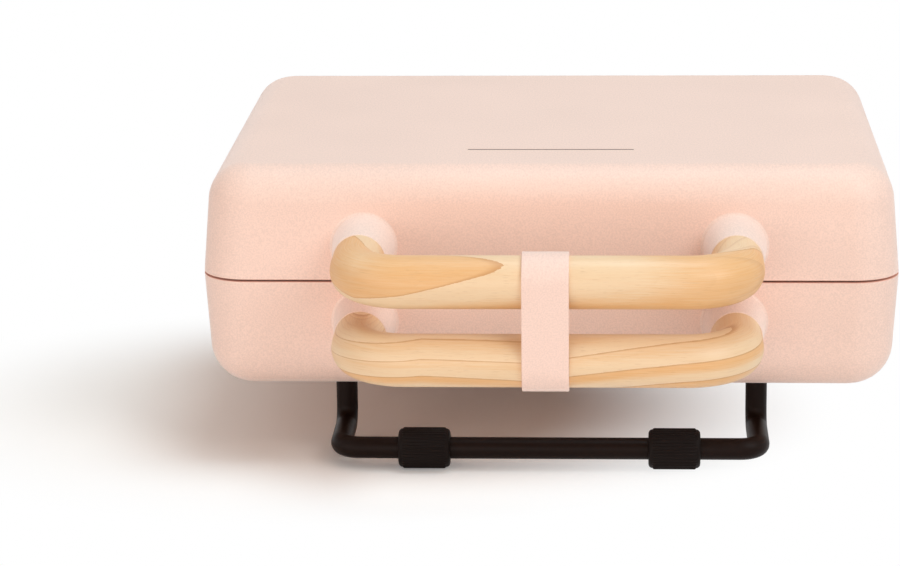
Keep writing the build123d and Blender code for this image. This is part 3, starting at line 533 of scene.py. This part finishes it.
def handle(name, node, collar, body, material):
    low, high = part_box(node)
    radius, middle_z = (high.z - low.z) / 2, (high.z + low.z) / 2
    arm, bar_y, rim_y = high.x - radius, low.y + radius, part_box(collar)[0].y
    corners = [Vector((x, y, middle_z)) for x, y in ((-arm, rim_y), (-arm, bar_y), (arm, bar_y), (arm, rim_y))]
    shape = bent_rod(radius, corners, handle_bend)
    shoulders = rod_ends(shape)
    bmesh.ops.inset_region(shape, faces=shoulders, thickness=radius - tenon_radius, use_even_offset=True)
    tenons = bmesh.ops.extrude_discrete_faces(shape, faces=shoulders)["faces"]
    bmesh.ops.translate(shape, verts=list({v for face in tenons for v in face.verts}), vec=(0, tenon_length, 0))
    made = finish_piece(name, shape, material, body, [node])
    grain = made.data.attributes.new("grain", "FLOAT_VECTOR", "POINT")
    for vert, value in zip(made.data.vertices, grain.data):
        value.vector = grain_at(vert.co, arm, bar_y, middle_z)
    return made


handle("upper_dowel", "upper_handle", "upper_collar_left", "lid", upper_maple)
handle("lower_dowel", "lower_handle", "lower_collar_left", "base", lower_maple)

# %% [markdown]
# ## Collars
#
# Each collar is a turned form, so half of its section is drawn as a few vertices and spun once round the arm. It
# flares into the housing's wall with a small hollow round. That wall leans back, so what lies near it is sheared by
# the same slope.

# %% Turned collars
wall_slope = {"upper": math.tan(math.radians(4.4)), "lower": -math.tan(math.radians(3.3))}


def collar(node, half, body):
    low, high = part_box(node)
    centre = Vector(((low.x + high.x) / 2, 0, (low.z + high.z) / 2))
    base_radius, rim_radius, bore, root = 11.4 * MM, 9.6 * MM, 7.35 * MM, 1.0 * MM
    wall_y = high.y - abs(wall_slope[half]) * (base_radius + root)
    section = [(bore, low.y), (rim_radius, low.y)]
    for step in range(9):
        angle = step * math.pi / 16
        section.append((base_radius + root * (1 - math.cos(angle)), wall_y - root * (1 - math.sin(angle))))
    section += [(base_radius + root, wall_y + wall / 2), (bore, wall_y + wall / 2)]
    shape = bmesh.new()
    verts = [shape.verts.new(centre + Vector((radius, y, 0))) for radius, y in section]
    edges = [shape.edges.new(pair) for pair in zip(verts, verts[1:] + verts[:1])]
    bmesh.ops.spin(shape, geom=verts + edges, cent=centre, axis=(0, 1, 0), angle=math.tau, steps=72, use_merge=True)
    for vert in shape.verts:
        if vert.co.y > wall_y - 1.5 * root:
            vert.co.y += (vert.co.z - centre.z) * wall_slope[half]
    rim = [edge for edge in shape.edges if all(abs(vert.co.y - low.y) < 0.01 * MM
           and (vert.co - centre).xz.length > rim_radius - 0.01 * MM for vert in edge.verts)]
    soften(shape, rim, 0.55 * MM, 4)
    even_shading(finish_piece(node + "_turned", shape, collar_pink_painted_light, body, [node]))


for half, body in (("upper", "lid"), ("lower", "base")):
    for side in ("left", "right"):
        collar(f"{half}_collar_{side}", half, body)

# %% [markdown]
# ## The strap
#
# The strap is one band of silicone. An edge as long as the strap is wide starts behind the upper bar, is spun over
# it, pushed straight down and spun under the lower bar. The sheet then gets its thickness and rounded edges from
# modifiers.

# %% Strap
def strap():
    low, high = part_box("handle_strap")
    thickness, bar_radius = 1.2 * MM, (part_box("upper_handle")[1].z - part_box("upper_handle")[0].z) / 2
    bar_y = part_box("upper_handle")[0].y + bar_radius
    upper_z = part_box("upper_handle")[1].z - bar_radius
    lower_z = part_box("lower_handle")[1].z - bar_radius
    reach = bar_y - low.y - thickness / 2
    wrap, tail = math.radians(240), 3 * MM
    behind = math.pi - wrap
    shape = bmesh.new()
    start = Vector((0, bar_y + reach * math.cos(behind), upper_z + reach * math.sin(behind)))
    ends = [shape.verts.new(start + Vector((x, 0, 0))) for x in (low.x, high.x)]
    ring = [shape.edges.new(ends)]
    spun = bmesh.ops.spin(shape, geom=ends + ring, cent=(0, bar_y, upper_z), axis=(1, 0, 0), angle=wrap, steps=40)
    ring = push(shape, new_edges(shape, spun["geom_last"]), Vector((0, 0, lower_z - upper_z)))
    verts = list(ring[0].verts)
    spun = bmesh.ops.spin(shape, geom=verts + ring, cent=(0, bar_y, lower_z), axis=(1, 0, 0), angle=math.pi / 2,
                          steps=16)
    push(shape, new_edges(shape, spun["geom_last"]), Vector((0, tail, 0)))
    made = finish_piece("silicone_strap", shape, strap_pink, "strap", ["handle_strap", "strap_lip"])
    thicken = made.modifiers.new("thickness", "SOLIDIFY")
    thicken.thickness, thicken.offset = thickness, 0
    round_edges = made.modifiers.new("round_edges", "BEVEL")
    round_edges.width, round_edges.segments = 0.3 * MM, 3
    even_shading(made)
    return made


strap()

# %% [markdown]
# ## Stands and feet
#
# The two stands are 8 mm wire, bent four times. Their feet are rubber sleeves with fine ribs along them: a circle
# whose radius swells and sinks three dozen times, carried along the wire, with its ends rounded.

# %% Wire stands
wire_radius = 4 * MM


def stand(name, leg_y, toe_y):
    low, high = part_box(name)
    side, middle_z = high.x - wire_radius, low.z + wire_radius
    route = [(-side, leg_y, high.z), (-side, leg_y, middle_z), (-side, toe_y, middle_z),
             (side, toe_y, middle_z), (side, leg_y, middle_z), (side, leg_y, high.z)]
    shape = bent_rod(wire_radius, [Vector(point) for point in route], stand_bend, sides=40, steps=10)
    finish_piece(name + "_wire", shape, finishes["stand_black"], "base", [name])


front_low, front_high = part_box("front_stand")
rear_low, rear_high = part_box("rear_stand")
stand("front_stand", front_high.y - wire_radius, front_low.y + wire_radius)
stand("rear_stand", rear_low.y + wire_radius, rear_high.y - wire_radius)


# %% Ribbed feet
def foot(node):
    low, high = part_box(node)
    axis = Vector((0, (low.y + high.y) / 2, (low.z + high.z) / 2))
    outer, edge_round = (high.z - low.z) / 2, 1.5 * MM
    rib_count, rib_height, rib_roundness, sides_per_rib = 36, 0.45 * MM, 0.6, 6
    shape = bmesh.new()
    lengthwise = Matrix.Rotation(math.pi / 2, 4, "Y")
    stations = [(low.x, wire_radius, False)]
    for step in range(5):
        angle = step * math.pi / 8
        stations.append((low.x + edge_round * (1 - math.cos(angle)),
                         outer - rib_height - edge_round * (1 - math.sin(angle)), False))
    stations.append((low.x + edge_round + rib_height, outer, True))
    stations += [(low.x + high.x - x, radius, ribbed) for x, radius, ribbed in reversed(stations)]
    rings = []
    for x, radius, ribbed in stations:
        start = Matrix.Translation((x, axis.y, axis.z)) @ lengthwise
        verts = bmesh.ops.create_circle(shape, segments=rib_count * sides_per_rib, radius=radius, matrix=start)["verts"]
        for vert in verts if ribbed else ():
            spoke = vert.co - Vector((x, axis.y, axis.z))
            swell = 0.5 + 0.5 * math.cos(rib_count * math.atan2(spoke.y, -spoke.z))
            vert.co -= spoke.normalized() * rib_height * (1 - swell ** rib_roundness)
        rings.append([edge for edge in shape.edges if edge.verts[0] in set(verts) and edge.verts[1] in set(verts)])
    for first, second in zip(rings, rings[1:] + rings[:1]):
        bmesh.ops.bridge_loops(shape, edges=first + second)
    finish_piece(node + "_sleeve", shape, finishes["foot_rubber"], "base", [node], 50)


for end in ("front", "rear"):
    for side in ("left", "right"):
        foot(f"{end}_foot_{side}")

# %% [markdown]
# ## Cooking plates and their frames
#
# A cast plate has no knife edges: the pegs, the rims of the wells and the gutter are all rounded by the mould. So
# are the frames' edges, less so. Both are merged copies with their crisp convex edges bevelled.

# %% Plates, frames and catches
edge_rounds = {
    "plate": ("plate_coating", 0.5 * MM),
    "frame": ("frame_grey", 0.3 * MM),
    "catch": ("catch_grey", 0.2 * MM),
}
for half, body in (("upper", "lid"), ("lower", "base")):
    for part, (slot, width) in edge_rounds.items():
        node = f"{half}_{part}"
        shape = merged_copy(node)
        soften(shape, crisp(shape, lambda edge: True, 14), width, 2)
        owner = node if part == "catch" else body
        even_shading(finish_piece(node + "_rounded", shape, finishes[slot], owner, [node], 30))

# %% [markdown]
# ## Light, floor and camera
#
# The picture is lit like a catalogue shot: a large soft lamp at the front right, high up, a small cool one above,
# two low warm ones that fill the shade from the left and the front, and a pale room all round. The camera stands a
# little above the machine, slightly right of its middle, with a long lens.

# %% Stage
def soft_lamp(name, place, size, power, colour=(1, 1, 1)):
    lamp = bpy.data.lights.new(name, "AREA")
    lamp.color = colour
    lamp.shape = "DISK"
    lamp.size = size
    lamp.energy = power
    holder = bpy.data.objects.new(name, lamp)
    holder.location = place
    aim = Vector((0, 0, 0.06)) - Vector(place)
    holder.rotation_euler = aim.to_track_quat("-Z", "Y").to_euler()
    bpy.context.scene.collection.objects.link(holder)


def white_room(light):
    """A world that lights with one colour and shows as plain white."""
    world = bpy.data.worlds.new("room")
    world.use_nodes = True
    bpy.context.scene.world = world
    room = Nodes(world.node_tree)
    shown = room.blend(room.seen_plainly(), light, (1, 1, 1))
    room.plug(room.tree.nodes["Background"].inputs["Color"], shown)


def pale_floor(size, shown, shadow_middle, shadow_radii, fade):
    """A white sheet that keeps the shadow in an oval near the machine and shows as plain white further out."""
    ground = bmesh.new()
    bmesh.ops.create_grid(ground, x_segments=1, y_segments=1, size=size)
    sheet = bpy.data.meshes.new("floor")
    ground.to_mesh(sheet)
    ground.free()
    floor = bpy.data.objects.new("floor", sheet)
    floor.location = shadow_middle
    bpy.context.scene.collection.objects.link(floor)
    white = Finish("floor", roughness=1.0)
    white.give("Specular IOR Level", 0.0)
    seen = white.seen_plainly()
    # painted light: the colour that the camera sees, shown, is warm, for the pink light the body bounces into its
    # shadow
    white.give("Base Color", white.blend(seen, (0.88, 0.88, 0.88), shown))
    oval = white.place([1 / radius for radius in shadow_radii] + [0])
    away = white.node("VectorMath", {"operation": "LENGTH"}, {0: oval}, output="Value").above(*fade)
    paper, glow = Signal(white, white.shader.outputs[0]), white.node("Emission", None, {"Color": (1, 1, 1, 1)})
    mixed = white.node("MixShader", None, {0: seen * away, 1: paper, 2: glow})
    white.plug(white.tree.nodes["Material Output"].inputs["Surface"], mixed)
    sheet.materials.append(white.material)


def camera(place, yaw, pitch, roll, lens):
    """A camera that looks along +Y, turned to the right by yaw, down by pitch, then rolled."""
    ahead = Vector((math.sin(yaw) * math.cos(pitch), math.cos(yaw) * math.cos(pitch), -math.sin(pitch)))
    right = Vector((math.cos(yaw), -math.sin(yaw), 0))
    up = right.cross(ahead)
    level_x = right * math.cos(roll) + up * math.sin(roll)
    level_y = up * math.cos(roll) - right * math.sin(roll)
    turn = Matrix((level_x, level_y, -ahead)).transposed().to_4x4()
    made = bpy.data.objects.new("camera", bpy.data.cameras.new("camera"))
    made.data.lens = lens
    made.matrix_world = Matrix.Translation(place) @ turn
    bpy.context.scene.collection.objects.link(made)
    bpy.context.scene.camera = made


soft_lamp("key", place=(1.6, -1.4, 1.8), size=1.7, power=25.5, colour=(0.96, 1, 1.03))
soft_lamp("over", place=(0.2, 0.1, 1.3), size=0.6, power=4.9, colour=(0.78, 1, 1.1))
soft_lamp("left_fill", place=(-1.1, -1.1, 0.22), size=0.8, power=4.1, colour=(1, 0.87, 0.8))
soft_lamp("front_fill", place=(-0.2, -1.5, 0.12), size=0.8, power=4.3, colour=(1, 0.89, 0.82))
white_room(light=(0.45, 0.435, 0.425))
# painted light: the warm shown colour stands for the pink light bounced into the floor's shadow
pale_floor(size=6, shown=(1.08, 1.02, 0.97), shadow_middle=(-0.082, 0, 0), shadow_radii=(0.195, 0.152), fade=(0.4, 1.0))
camera(place=Vector((25.39, -1213.7, 362.3)) * MM, yaw=-0.0538, pitch=0.252, roll=-0.0115, lens=129.6)
bpy.context.scene.view_settings.view_transform = "Standard"
print("camera", [round(value, 3) for value in bpy.context.scene.camera.location])
